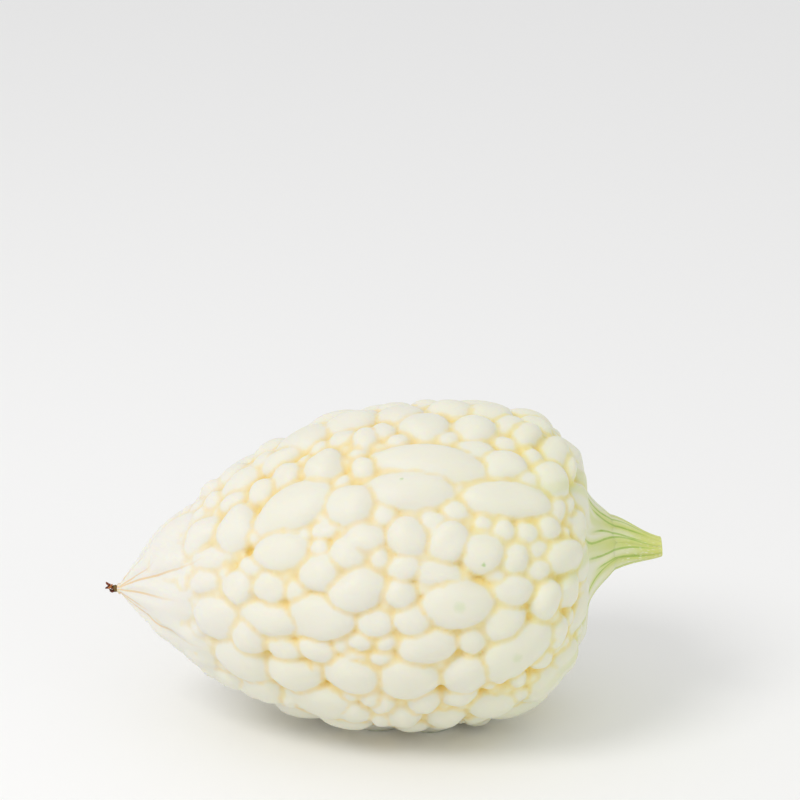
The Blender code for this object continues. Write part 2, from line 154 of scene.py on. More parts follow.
EGG_THICKNESS = 0.95          # of a wart's half width, unless the skin is lower
EGG_FLATNESS = 0.42           # a low wart is the cap of an egg that is at least this thick
EGG_ROOT = 0.0015             # how deep a wart's underside sits in the flesh
EGG_SPREAD = 1.16             # warts press into each other by this much
EGG_FULLNESS = 2.3            # 2 is an egg, more is a fuller pebble
EGG_LUMP = 0.15               # how far a wart strays from an egg
EGG_PEAR = 0.16               # how much one end of a wart is fatter than the other
EGGS_START = 0.0075           # no wart reaches closer to the tip than this
WIDE_EGG = 0.0085             # wider warts get a finer mesh

BODY_SEGMENTS = 144
BODY_RINGS = 110
PLUG_START = 0.97             # the last rings of the body close the neck
PLUG_LENGTH = 0.0025          # which runs on this far inside the stalk
SKIN_GRAIN = 0.00086          # mesh size of the finished skin
CREASE_COUNT = 17             # fine creases that run back from the tip
CREASE_WIDTH = 0.00036
CREASE_REACH = 0.032
CREASE_UNLIKE = 0.014         # how much longer or shorter than that one of them may be
CREASE_STRAY = 0.26           # how far it may lie off its even place, as a share of the spacing
CREASE_SWAY = 0.10            # and how far it sways from side to side
CREASE_PACE = 130.0           # radians of sway to a metre
LOBE_DEPTH = 0.00160          # the skin between the creases swells in soft lobes
LOBE_VALLEY = 0.0017
VEIN_COUNT = 11               # broad green veins that spread from the neck over the shoulder
VEIN_WIDTH = 0.0019
VEIN_REACH = 0.046
VEIN_UNLIKE = 0.012
VEIN_STRAY = 0.25
VEIN_SWAY = 0.16
VEIN_PACE = 150.0
LINE_COUNT = 21               # green lines on neck and stalk
LINE_WIDTH = 0.00034
LINE_STRAY = 0.30
LINE_SWAY = 0.20
LINE_PACE = 260.0
STALK_LENGTH = 0.0140
STALK_BEND = 0.0026
SEAM_ANGLE = math.radians(14)  # a fold at least this sharp is a seam between two warts
# The golden tint of the seams is partly the skin's own colour and partly painted glow and shade.
SEAM_REACH = 0.0030           # the golden tint fades out this far from a seam
SEAM_BLENDS = 3               # how often that distance is blended with the points next to it
SOFTENING_ROUNDS = 8          # how often the low warts of the neck are smoothed into the skin
TIP_SOFTENING = 0.55          # the tip gets this share of it
SOFTENING_ALL_OVER = 0.07     # and the seams between the high warts this share
TIP_SOFT_TO = 0.12            # shares of the skin's length where the softening of the tip fades out
TIP_SOFT_END = 0.27


def smooth_step(low, high, value):
    share = np.clip((value - low) / (high - low), 0.0, 1.0)
    return share * share * (3.0 - 2.0 * share)


def bezier(start, start_handle, end_handle, end, count):
    """Points along a cubic curve, without its first point."""
    t = np.linspace(0.0, 1.0, count + 1)[1:, None]
    points = [np.array(p) for p in (start, start_handle, end_handle, end)]
    return ((1 - t) ** 3 * points[0] + 3 * (1 - t) ** 2 * t * points[1]
            + 3 * (1 - t) * t ** 2 * points[2] + t ** 3 * points[3])


class Outline:
    """The fruit's side outline over the crowns of its warts, read by distance along the skin."""

    def __init__(self):
        radius = FRUIT_DIAMETER / 2
        widest = FRUIT_LENGTH * WIDEST_SHARE
        swing = np.linspace(0.0, math.pi / 2, 160)
        along = widest * (1 - np.cos(swing))
        blunt = TIP_BLUNTNESS * np.sqrt(1 - np.exp(-along / TIP_BLUNTNESS)) * np.cos(swing) ** 2
        tip_side = np.column_stack((along, radius * np.sin(swing) ** TIP_TAPER + blunt))
        reach = np.sin(swing[1:])
        shoulder = np.column_stack((
            widest + (FRUIT_LENGTH - widest) * reach,
            radius * np.clip(1 - reach ** SHOULDER_SQUARENESS, 0, 1) ** SHOULDER_FULLNESS,
        ))
        shoulder = shoulder[shoulder[:, 1] > FLARE_FOOT_DIAMETER / 2]
        foot = shoulder[-1]
        seat = np.array((FRUIT_LENGTH + NECK_LENGTH, SEAT_DIAMETER / 2))
        drop = foot[1] - seat[1]
        run = seat[0] - foot[0]
        neck = bezier(foot, foot + (0.10 * run, -0.45 * drop), seat + (-0.35 * run, 0.30 * drop), seat, 40)

        self.points = np.vstack((tip_side, shoulder, neck))
        steps = np.linalg.norm(np.diff(self.points, axis=0), axis=1)
        self.skin = np.concatenate(((0.0,), np.cumsum(steps)))
        self.length = self.skin[-1]
        self.foot_skin = self.skin[len(tip_side) + len(shoulder) - 1]
        slope = np.gradient(self.points, self.skin, axis=0)
        slope /= np.linalg.norm(slope, axis=1)[:, None]
        self.normals = np.column_stack((-slope[:, 1], slope[:, 0]))

    def at(self, skin):
        """Along, radius, and the two parts of the outward normal, at distances along the skin."""
        columns = (self.points[:, 0], self.points[:, 1], self.normals[:, 0], self.normals[:, 1])
        return [np.interp(skin, self.skin, column) for column in columns]

    def skin_of(self, along):
        """Distance along the skin of a place along the axis, up to the shoulder face."""
        count = int(np.searchsorted(self.skin, self.foot_skin)) + 1
        return float(np.interp(along, self.points[:count, 0], self.skin[:count]))

    def relief(self, skin):
        """How strongly the warts stand out: low at the drawn-out tip and on the neck."""
        tip = 0.10 * smooth_step(0.0, 0.05 * self.length, skin)
        tip += 0.90 * smooth_step(0.035 * self.length, 0.28 * self.length, skin)
        neck = 1.0 - 0.90 * smooth_step(self.foot_skin - 0.018, self.foot_skin + 0.004, skin)
        return tip * neck


def half_size(long, wide, turn, direction):
    """How far an ellipse reaches in a direction, all angles from the axis."""
    angle = direction - turn
    return long * wide / np.sqrt((wide * np.cos(angle)) ** 2 + (long * np.sin(angle)) ** 2)


def neighbours(outline, warts, skin, around):
    """Distances and directions from a place to the middles of the warts, and how far each reaches back."""
    taken = np.array(warts)
    radius = np.interp(skin, outline.skin, outline.points[:, 1])
    radii = (radius + np.interp(taken[:, 0], outline.skin, outline.points[:, 1])) / 2
    across = (taken[:, 1] - around + math.pi) % (2 * math.pi) - math.pi
    step = np.column_stack((taken[:, 0] - skin, radii * across))
    direction = np.arctan2(step[:, 1], step[:, 0])
    reach_back = half_size(taken[:, 2], taken[:, 3], taken[:, 4], direction)
    return np.linalg.norm(step, axis=1), direction, reach_back


def placed_warts(outline, listed):
    """The warts of a list, as rows in the skin's own terms."""
    warts = []
    for along, around, long, wide, turn in listed:
        skin = outline.skin_of(along / 100 * FRUIT_LENGTH)
        warts.append((skin, math.radians(around), long / 2 * MM, wide / 2 * MM, math.radians(turn)))
    return warts


def lay_out_warts(outline):
    """Rows of skin distance, angle, half length, half width and turn of each wart."""
    warts = []
    for side in (-1, 1):
        for end in (-1, 1):
            skin = outline.skin_of(REST_PLACE + end * REST_SPAN_ALONG / 2)
            around = -math.pi / 2 + side * math.asin(REST_SPAN_ACROSS / FRUIT_DIAMETER)
            warts.append((skin, around, REST_WART_LENGTH / 2, REST_WART_WIDTH / 2, 0.0))
    warts += placed_warts(outline, NAMED_WARTS)

    dice = random.Random(WART_SEED)
    first = WARTS_START * outline.length
    last = outline.foot_skin - WARTS_END
    for tries, long_least, long_most, wide_least, wide_most in STREWN_WARTS:
        for _ in range(tries):
            skin = dice.uniform(first, last)
            around = dice.uniform(-math.pi, math.pi)
            long = dice.uniform(long_least, long_most) / 2 * MM
            wide = min(dice.uniform(wide_least, wide_most) / 2 * MM, long)
            turn = math.radians(dice.uniform(-STREWN_TURN, STREWN_TURN))
            distance, direction, reach = neighbours(outline, warts, skin, around)
            if (distance > STREWN_CLOSENESS * (reach + half_size(long, wide, turn, direction))).all():
                warts.append((skin, around, long, wide, turn))

    for tries, least, most in FILLINGS:
        for _ in range(tries):
            skin = dice.uniform(first, last)
            around = dice.uniform(-math.pi, math.pi)
            distance, _, reach = neighbours(outline, warts, skin, around)
            room = (distance / FILLING_CLOSENESS - reach).min()
            if room > least / 2 * MM:
                wide = min(room, most / 2 * MM)
                turn = dice.uniform(-math.pi, math.pi)
                warts.append((skin, around, wide * dice.uniform(1.0, 1.18), wide, turn))
    return warts


def ribs(around):
    """Ridges of the neck and stalk, from 0 in a furrow to 1 on a ridge."""
    return np.abs(np.cos(around * RIB_COUNT / 2)) ** 0.8


def paint_growth(mesh, skin, around, inside):
    """What the finishes read: the place in the gourd's own frame, green share, pale ridge and cut flesh."""
    radius = np.interp(skin, fruit_outline.skin, fruit_outline.points[:, 1])
    way = mesh.attributes.new("way", "FLOAT_VECTOR", "POINT")
    rows = np.column_stack((skin, radius * np.cos(around), radius * np.sin(around)))
    way.data.foreach_set("vector", rows.astype(np.float32).ravel())
    past = skin - fruit_outline.length
    green = smooth_step(-0.0085, 0.0045, past)
    ridge = ribs(around) ** 4 * smooth_step(-0.012, -0.004, past) * (1 - smooth_step(0.002, 0.010, past))
    layer = mesh.attributes.new("growth", "FLOAT_COLOR", "POINT")
    rows = np.column_stack((green, ridge, inside, np.ones_like(skin)))
    layer.data.foreach_set("color", rows.astype(np.float32).ravel())


def axis_lift(along):
    """The axis turns up a little at the neck and hangs from there to the cut end."""
    seat = FRUIT_LENGTH + NECK_LENGTH
    neck = NECK_RISE * smooth_step(0.92 * FRUIT_LENGTH, seat, along)
    return neck - STALK_BEND * smooth_step(seat, seat + STALK_LENGTH, along)


def to_space(along, radius, around):
    """Points from places along the axis, out from it and around it: 0 is the front, a quarter the top."""
    rise = radius * np.sin(around)
    leaning = smooth_step(0.45 * FRUIT_LENGTH, 0.95 * FRUIT_LENGTH, along)
    leaning *= 1 - smooth_step(FRUIT_LENGTH, FRUIT_LENGTH + NECK_LENGTH, along)
    return np.column_stack((along + SHOULDER_LEAN * leaning * rise, -radius * np.cos(around),
                            rise + axis_lift(along)))


def to_skin(places):
    """The other way: distance along the skin, angle around, and depth below the crowns of the warts."""
    along = places[:, 0].copy()
    for _ in range(3):
        rise = places[:, 2] - axis_lift(along)
        leaning = smooth_step(0.45 * FRUIT_LENGTH, 0.95 * FRUIT_LENGTH, along)
        leaning *= 1 - smooth_step(FRUIT_LENGTH, FRUIT_LENGTH + NECK_LENGTH, along)
        along = places[:, 0] - SHOULDER_LEAN * leaning * rise
    radius = np.hypot(places[:, 1], rise)
    finder = KDTree(len(fruit_outline.points))
    for index, (point_along, point_radius) in enumerate(fruit_outline.points):
        finder.insert((point_along, point_radius, 0), index)
    finder.balance()
    nearest = np.array([finder.find((a, r, 0))[1] for a, r in zip(along, radius)])
    off = np.column_stack((along, radius)) - fruit_outline.points[nearest]
    depth = -(off * fruit_outline.normals[nearest]).sum(axis=1)
    return fruit_outline.skin[nearest], np.arctan2(rise, -places[:, 1]), depth


def crease_valleys(skin, around):
    """Broad valleys that the fine creases of the tip lie in, 0 on a lobe to 1 in a valley."""
    cell = around * CREASE_COUNT / (2 * math.pi)
    number = np.floor(cell)
    off = cell - number - 0.5 - CREASE_STRAY * np.sin(2.4 * number)
    off -= CREASE_SWAY * np.sin(CREASE_PACE * skin + 1.7 * number)
    radius = np.interp(skin, fruit_outline.skin, fruit_outline.points[:, 1])
    reach = CREASE_REACH + CREASE_UNLIKE * np.sin(1.9 * number)
    fade = smooth_step(0.0015, 0.004, skin) * (1 - smooth_step(0.5 * reach, reach, skin))
    return np.exp(-(off * 2 * math.pi / CREASE_COUNT * radius / LOBE_VALLEY) ** 2) * fade


def swelling(along, radius, around):
    """The body strays a little from a turned shape."""
    spot = Vector((along, radius * math.cos(around), radius * math.sin(around))) / LOPSIDED_SPAN
    return LOPSIDEDNESS * noise.noise(spot)


def raised(skin, around, lift):
    """Points at a height above the skin between the warts."""
    along, radius, normal_along, normal_out = fruit_outline.at(skin)
    height = lift - WART_HEIGHT * fruit_outline.relief(skin)
    return to_space(along + normal_along * height, np.maximum(radius + normal_out * height, 0.0), around)


def ground(skin, around):
    """The skin between the warts."""
    along, radius, _, _ = fruit_outline.at(skin)
    neck = smooth_step(fruit_outline.foot_skin - 0.006, fruit_outline.length, skin)
    swell = np.array([swelling(a, r, t) for a, r, t in zip(along, radius, around)])
    return raised(skin, around, swell * (1 - neck) + neck * RIB_DEPTH * (ribs(around) - 1))


def vertex_places(mesh):
    places = np.empty(3 * len(mesh.vertices))
    mesh.vertices.foreach_get("co", places)
    return places.reshape(-1, 3)


def lone(piece):
    """Makes a piece the only one selected and the active one."""
    bpy.ops.object.select_all(action="DESELECT")
    piece.select_set(True)
    bpy.context.view_layer.objects.active = piece


fruit_outline = Outline()

bpy.ops.object.select_all(action="DESELECT")
bpy.ops.mesh.primitive_uv_sphere_add(segments=BODY_SEGMENTS, ring_count=BODY_RINGS, radius=1.0)
fruit = bpy.context.object
fruit.name = "fruit_skin"
body = fruit.data
globe = vertex_places(body)
ring = np.arccos(np.clip(globe[:, 2], -1, 1)) / math.pi
around = np.arctan2(globe[:, 1], globe[:, 0])
skin = np.interp(ring, (0.0, 0.35, 0.72, PLUG_START, 1.0), (0.0, 0.25, 0.82, 1.0, 1.0))
skin *= fruit_outline.length
places = ground(skin, around)
plug = ring > PLUG_START
depth = np.interp(ring[plug], (PLUG_START, 0.99, 1.0), (0.0, PLUG_LENGTH, PLUG_LENGTH))
radius = np.interp(ring[plug], (PLUG_START, 0.975, 0.99, 1.0), (1.0, 0.90, 0.72, 0.0))
radius *= SEAT_DIAMETER / 2 - RIB_DEPTH
places[plug] = to_space(FRUIT_LENGTH + NECK_LENGTH + depth, radius, around[plug])
body.vertices.foreach_set("co", places.ravel())
body.flip_normals()


def model_egg(subdivisions):
    bpy.ops.object.select_all(action="DESELECT")
    bpy.ops.mesh.primitive_ico_sphere_add(subdivisions=subdivisions, radius=1.0)
    return bpy.context.object


def wart_egg(master, wart, number):
    """A copy of the egg, made lumpy and bent round the skin at its place."""
    skin, around, half_long, half_wide, turn = wart
    egg = master.copy()
    egg.data = master.data.copy()
    ball = vertex_places(egg.data)
    dice = random.Random(1000 + number)
    pear = dice.uniform(-EGG_PEAR, EGG_PEAR)
    shift = Vector((dice.uniform(0, 50), dice.uniform(0, 50), dice.uniform(0, 50)))
    lump = np.array([noise.noise(Vector(p) * 1.0 + shift) for p in ball])
    level = np.hypot(ball[:, 0], ball[:, 1])
    fullness = (level ** EGG_FULLNESS + np.abs(ball[:, 2]) ** EGG_FULLNESS) ** (-1 / EGG_FULLNESS)
    shaped = ball * (fullness * (1 + EGG_LUMP * lump))[:, None]
    shaped[:, 1] *= 1 + pear * ball[:, 0]

    relief = float(fruit_outline.relief(skin))
    breadth = min(2 * half_wide / FULL_HEIGHT_WIDTH, 1.0)
    height = relief * WART_HEIGHT * (LOWEST_SHARE + (1 - LOWEST_SHARE) * breadth)
    thick = max(min(EGG_THICKNESS * half_wide, height + 0.4 * EGG_ROOT), EGG_FLATNESS * half_wide)
    middle = height - thick
    lift = middle + np.where(shaped[:, 2] > 0, thick, EGG_ROOT) * shaped[:, 2]
    spread = EGG_SPREAD / (1 - max(0.0, -middle / thick) ** EGG_FULLNESS) ** (1 / EGG_FULLNESS)
    x = shaped[:, 0] * half_long * spread
    y = shaped[:, 1] * half_wide * spread
    place_skin = skin + x * math.cos(turn) - y * math.sin(turn)
    place_skin = np.clip(place_skin, EGGS_START, fruit_outline.length)
    own_radius = np.interp(skin, fruit_outline.skin, fruit_outline.points[:, 1])
    radius = np.interp(place_skin, fruit_outline.skin, fruit_outline.points[:, 1])
    across = x * math.sin(turn) + y * math.cos(turn)
    place_around = around + across / np.maximum(radius, 0.5 * own_radius)
    lift = np.where(lift > 0, lift * np.minimum(fruit_outline.relief(place_skin) / relief, 1.0), lift)
    along = float(np.interp(skin, fruit_outline.skin, fruit_outline.points[:, 0]))
    lift += swelling(along, float(own_radius), around)
    egg.data.vertices.foreach_set("co", raised(place_skin, place_around, lift).ravel())
    return egg


small_egg = model_egg(3)
wide_egg = model_egg(4)
eggs = [
    wart_egg(wide_egg if 2 * wart[3] > WIDE_EGG else small_egg, wart, number)
    for number, wart in enumerate(lay_out_warts(fruit_outline) + placed_warts(fruit_outline, TIP_LOBES))
]
bpy.data.objects.remove(small_egg)
bpy.data.objects.remove(wide_egg)

# the warts are grown together with the body into one closed skin
bpy.ops.object.select_all(action="DESELECT")
for egg in eggs:
    bpy.context.scene.collection.objects.link(egg)
    egg.select_set(True)
fruit.select_set(True)
bpy.context.view_layer.objects.active = fruit
bpy.ops.object.join()
knit = fruit.modifiers.new("knit", "REMESH")
knit.mode = "VOXEL"
knit.voxel_size = SKIN_GRAIN
bpy.ops.object.modifier_apply(modifier=knit.name)

# how far each point lies from the nearest seam between warts
form = bmesh.new()
form.from_mesh(fruit.data)
bmesh.ops.triangulate(form, faces=form.faces)
seam_points = [
    (edge.verts[0].co + edge.verts[1].co) / 2
    for edge in form.edges if edge.calc_face_angle_signed() < -SEAM_ANGLE
]
form.free()
finder = KDTree(len(seam_points))
for index, point in enumerate(seam_points):
    finder.insert(point, index)
finder.balance()
seam = np.array([min(finder.find(vert.co)[2], SEAM_REACH) for vert in fruit.data.vertices]) / SEAM_REACH
ends = np.empty(2 * len(fruit.data.edges), dtype=np.int32)
fruit.data.edges.foreach_get("vertices", ends)
ends = ends.reshape(-1, 2)
partners = np.bincount(ends.ravel(), minlength=len(seam))
for _ in range(SEAM_BLENDS):
    passed = np.bincount(ends[:, 0], seam[ends[:, 1]], len(seam))
    passed += np.bincount(ends[:, 1], seam[ends[:, 0]], len(seam))
    seam = 0.5 * seam + 0.5 * passed / partners

# the seams are softened, most of all on the neck, and the valleys of the tip are pressed in
skin, around, depth = to_skin(vertex_places(fruit.data))
soft = TIP_SOFTENING * (1 - smooth_step(TIP_SOFT_TO, TIP_SOFT_END, skin / fruit_outline.length))
soft += smooth_step(fruit_outline.foot_skin - 0.010, fruit_outline.foot_skin - 0.001, skin)
softened = fruit.vertex_groups.new(name="softened")
for index, weight in enumerate(np.clip(SOFTENING_ALL_OVER + soft, 0, 1)):
    softened.add([index], float(weight), "REPLACE")
soften = fruit.modifiers.new("soften", "SMOOTH")
soften.factor = 0.5
soften.iterations = SOFTENING_ROUNDS
soften.vertex_group = softened.name
lone(fruit)
bpy.ops.object.modifier_apply(modifier=soften.name)
fruit.vertex_groups.clear()

places = vertex_places(fruit.data)
inward = to_space(places[:, 0], np.zeros_like(skin), around) - places
inward /= np.maximum(np.linalg.norm(inward, axis=1), 1e-6)[:, None]
places += inward * (crease_valleys(skin, around) * LOBE_DEPTH)[:, None]
in_sight = places[:, 0] < FRUIT_LENGTH + NECK_LENGTH
fruit.data.vertices.foreach_set("co", places.ravel())

# seam distance and pit depth drive the golden seams, partly the skin's colour and partly painted glow and
# shade; the neck share drives the pale neck
neck = smooth_step(fruit_outline.foot_skin - 0.012, fruit_outline.length, skin)
tints = fruit.data.attributes.new("tints", "FLOAT_COLOR", "POINT")
pit = np.clip(depth / WART_HEIGHT, 0, 1) * (1 - neck)
tint_rows = np.column_stack((seam, pit, neck, np.ones_like(skin)))
tints.data.foreach_set("color", tint_rows.astype(np.float32).ravel())
paint_growth(fruit.data, skin, around, np.zeros_like(skin))

# laid down as the solid lies: tilted, brought to the solid's box, and pressed flat on the table
lean = np.array(Matrix.Rotation(-TILT, 3, "Y"))
places = vertex_places(fruit.data) @ lean.T
solid_low, solid_high = (np.array(corner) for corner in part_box("fruit"))
solid_low[2] -= REST_FLAT
low = places[in_sight].min(axis=0)
high = places[in_sight].max(axis=0)
stretch = (solid_high - solid_low) / (high - low)
slide = solid_low - low * stretch
fruit.data.vertices.foreach_set("co", (places * stretch + slide).ravel())


def lay_down(points):
    """Moves points given in the upright gourd's own frame to where they lie."""
    return (points @ lean.T) * stretch + slide


bpy.ops.object.select_all(action="DESELECT")
bpy.ops.mesh.primitive_cube_add(size=1.0, location=(0, 0, -0.005))
table_cut = bpy.context.object
table_cut.scale = (0.3, 0.3, 0.01)
press = fruit.modifiers.new("press", "BOOLEAN")
press.operation = "DIFFERENCE"
press.solver = "MANIFOLD"
press.object = table_cut
lone(fruit)
bpy.ops.object.modifier_apply(modifier=press.name)
bpy.data.objects.remove(table_cut)
lone(fruit)
bpy.ops.object.shade_smooth_by_angle(angle=math.radians(60))


class Value:
    """A number that varies over the surface; sums and products of values add Math nodes."""

    def __init__(self, finish, socket):
        self.finish = finish
        self.socket = socket

    def combine(self, operation, first, second):
        node = self.finish.node("ShaderNodeMath", {"operation": operation}, {0: first, 1: second})
        return Value(self.finish, node.outputs[0])

    def __add__(self, other):
        return self.combine("ADD", self, other)

    def __radd__(self, other):
        return self.combine("ADD", other, self)

    def __sub__(self, other):
        return self.combine("SUBTRACT", self, other)

    def __rsub__(self, other):
        return self.combine("SUBTRACT", other, self)

    def __mul__(self, other):
        return self.combine("MULTIPLY", self, other)

    def __rmul__(self, other):
        return self.combine("MULTIPLY", other, self)


class Finish:
    """A material whose nodes are added one at a time."""

    def __init__(self, name):
        self.material = bpy.data.materials.new(name)
        self.material.use_nodes = True
        self.tree = self.material.node_tree
        self.shader = self.tree.nodes["Principled BSDF"]

    def node(self, kind, settings, inputs):
        made = self.tree.nodes.new(kind)
        for name, setting in settings.items():
            if name == "stops":
                ramp = made.color_ramp
                while len(ramp.elements) < len(setting):
                    ramp.elements.new(0.5)
                for element, (position, colour) in zip(ramp.elements, setting):
                    element.position = position
                    element.color = (*colour, 1.0)
            else:
                setattr(made, name, setting)
        for key, value in inputs.items():
            self.feed(made.inputs[key], value)
        return made

    def feed(self, socket, value):
        if isinstance(value, Value):
            self.tree.links.new(value.socket, socket)
        elif isinstance(value, bpy.types.NodeSocket):
            self.tree.links.new(value, socket)
        else:
            socket.default_value = value

    def value(self, kind, settings, inputs, output=0):
        return Value(self, self.node(kind, settings, inputs).outputs[output])

    def ease(self, value, low, high):
        """0 below low, 1 above high, eased between."""
        return self.value("ShaderNodeMapRange", {"interpolation_type": "SMOOTHSTEP", "clamp": True},
                          {"Value": value, "From Min": low, "From Max": high})

    def mix(self, factor, first, second, blend="MIX"):
        made = self.node("ShaderNodeMix", {"data_type": "RGBA", "blend_type": blend}, {})
        self.feed(made.inputs[0], factor)
        for socket, colour in ((made.inputs[6], first), (made.inputs[7], second)):
            self.feed(socket, (*colour, 1.0) if isinstance(colour, tuple) else colour)
        return made.outputs[2]

    def lines(self, count, stray, sway, pace, width, start, reach, unlike):
        """Thin lines along the gourd, 1 on a line, unlike in place and in how far they reach."""
        way = self.node("ShaderNodeAttribute", {"attribute_name": "way"}, {}).outputs["Vector"]
        axes = self.node("ShaderNodeSeparateXYZ", {}, {"Vector": way})
        skin, front, up = (Value(self, axes.outputs[name]) for name in ("X", "Y", "Z"))
        cell = skin.combine("ARCTAN2", up, front) * (count / (2 * math.pi))
        number = cell.combine("FLOOR", cell, 0.0)
        off = cell - number - 0.5 - stray * self.sine(2.4 * number)
        off = off - sway * self.sine(pace * skin + 1.7 * number)
        radius = skin.combine("SQRT", front * front + up * up, 0.0)
        away = skin.combine("ABSOLUTE", off, 0.0) * radius * (2 * math.pi / count)
        run = skin.combine("ABSOLUTE", skin - start, 0.0)
        own_reach = reach + unlike * self.sine(1.9 * number)
        fade = 1 - self.ease(run.combine("DIVIDE", run, own_reach), 0.45, 1.0)
        return (1 - self.ease(away, 0.35 * width, 1.6 * width)) * fade

    def sine(self, value):
        return value.combine("SINE", value, 0.0)

    def growth(self, colour):
        """Lays the green of neck and stalk over a colour."""
        layer = self.node("ShaderNodeAttribute", {"attribute_name": "growth"}, {})
        split = self.node("ShaderNodeSeparateColor", {}, {"Color": layer.outputs["Color"]})
        green, ridge = (Value(self, split.outputs[name]) for name in ("Red", "Green"))
        place = self.node("ShaderNodeTexCoord", {}, {}).outputs["Object"]
        stretched = self.node("ShaderNodeMapping", {}, {"Vector": place, "Scale": (90.0, 700.0, 700.0)})
        streak = self.value("ShaderNodeTexNoise", {}, {"Vector": stretched.outputs[0], "Scale": 1.0})
        seat = fruit_outline.length
        run = (LINE_COUNT, LINE_STRAY, LINE_SWAY, LINE_PACE)
        line = self.lines(*run, LINE_WIDTH, seat, 0.0165, 0.0075)
        glow = self.lines(*run, 3.5 * LINE_WIDTH, seat, 0.0210, 0.0085)
        colour = self.mix(glow * 0.45, colour, BAND_GREEN)
        colour = self.mix(green * (0.55 + 0.65 * streak), colour, BAND_GREEN)
        colour = self.mix(ridge * 0.55, colour, RIDGE_PALE)
        return self.mix(line * (0.45 + 0.65 * streak), colour, LINE_GREEN)


IVORY = (0.80, 0.79, 0.70)
CREAM = (0.79, 0.76, 0.63)
TIP_WHITE = (0.81, 0.79, 0.74)
# The seam colours and the gold of the deep pits are partly the skin's own colour and partly painted light:
# the warm glow and shade that light makes in the grooves of the waxy skin.
SEAM_CREAM_AND_GLOW = (0.86, 0.70, 0.33)     # towards the tip
SEAM_YELLOW_AND_GLOW = (0.82, 0.74, 0.22)    # towards the stalk
PIT_GOLD_AND_SHADE = (0.92, 0.66, 0.11)
# Peach of the fine tip creases: partly their own tan colour, partly painted shade in creases too fine for
# the mesh.
CREASE_PEACH_AND_SHADE = (0.80, 0.62, 0.38)
# The leaf tint is the real green towards the stalk, and also painted shade on the fruit's lower side.
LEAF_TINT_AND_SHADE = (0.72, 0.78, 0.48)
NECK_PALE = (0.76, 0.77, 0.55)
BAND_GREEN = (0.60, 0.66, 0.18)
RIDGE_PALE = (0.80, 0.80, 0.62)
LINE_GREEN = (0.33, 0.50, 0.08)
SPECK_GREEN = (0.42, 0.60, 0.22)
SPECK_BROWN = (0.30, 0.17, 0.06)
# specks on the skin: along in hundredths of the length, degrees around, radius in millimetres, then
# strength and colour
SPECKS = (
    (62, 52, 0.7, 0.55, SPECK_GREEN), (77, 20.8, 1.0, 0.75, SPECK_GREEN), (72, 7.7, 2.4, 0.22, SPECK_GREEN),
    (83.4, -14.4, 2.2, 0.20, SPECK_GREEN), (58.5, 42, 0.45, 0.7, SPECK_BROWN),
    (25.9, 38, 0.35, 0.6, SPECK_BROWN), (41, 150, 0.5, 0.6, SPECK_BROWN), (66, 205, 0.9, 0.5, SPECK_GREEN),
)

waxy = Finish("waxy_skin")
place = waxy.node("ShaderNodeTexCoord", {}, {}).outputs["Object"]
tint_node = waxy.node("ShaderNodeAttribute", {"attribute_name": "tints"}, {})
split = waxy.node("ShaderNodeSeparateColor", {}, {"Color": tint_node.outputs["Color"]})
seam_gap = Value(waxy, split.outputs["Red"])
pit = Value(waxy, split.outputs["Green"])
neck = Value(waxy, split.outputs["Blue"])
fold = waxy.lines(CREASE_COUNT, CREASE_STRAY, CREASE_SWAY, CREASE_PACE, CREASE_WIDTH,
                  0.0, CREASE_REACH, CREASE_UNLIKE)
vein = waxy.lines(VEIN_COUNT, VEIN_STRAY, VEIN_SWAY, VEIN_PACE, VEIN_WIDTH,
                  fruit_outline.length, VEIN_REACH, VEIN_UNLIKE)
along = Value(waxy, waxy.node("ShaderNodeSeparateXYZ", {}, {"Vector": place}).outputs["X"])
height = Value(waxy, waxy.node("ShaderNodeSeparateXYZ", {}, {"Vector": place}).outputs["Z"])
cloudy = waxy.value("ShaderNodeTexNoise", {}, {"Vector": place, "Scale": 45.0, "Detail": 3.0})
fine = waxy.value("ShaderNodeTexNoise", {}, {"Vector": place, "Scale": 900.0, "Detail": 4.0})

towards_tip = 1 - waxy.ease(along, -0.075, -0.025)
towards_stalk = waxy.ease(along, -0.005, 0.075)
# painted shade: the lower part of the fruit, by its height over the table, gets a darker greyish-green tint
painted_underside_shade = 1 - waxy.ease(height, 0.005, 0.055)
# painted glow and shade in the seams: the golden tint near each seam and the deeper gold in the pits are
# partly the skin's own colour and partly stand in for the glow and shade of light in the grooves
seam_glow_and_tint = 1 - waxy.ease(seam_gap, 0.0, 0.22 + 0.30 * cloudy)
pit_glow_and_shade = waxy.ease(pit, 0.35, 1.0)
colour = waxy.mix(cloudy * 0.6, IVORY, CREAM)
colour = waxy.mix(towards_tip * 0.8, colour, TIP_WHITE)
colour = waxy.mix(towards_stalk * (0.10 + 0.28 * cloudy) + painted_underside_shade * 0.12, colour, LEAF_TINT_AND_SHADE)
seam_colour_and_glow = waxy.mix(towards_stalk, SEAM_CREAM_AND_GLOW, SEAM_YELLOW_AND_GLOW)
colour = waxy.mix(seam_glow_and_tint * (0.90 - 0.40 * towards_tip), colour, seam_colour_and_glow)
colour = waxy.mix(seam_glow_and_tint * pit_glow_and_shade * (0.85 - 0.60 * towards_tip), colour, PIT_GOLD_AND_SHADE)
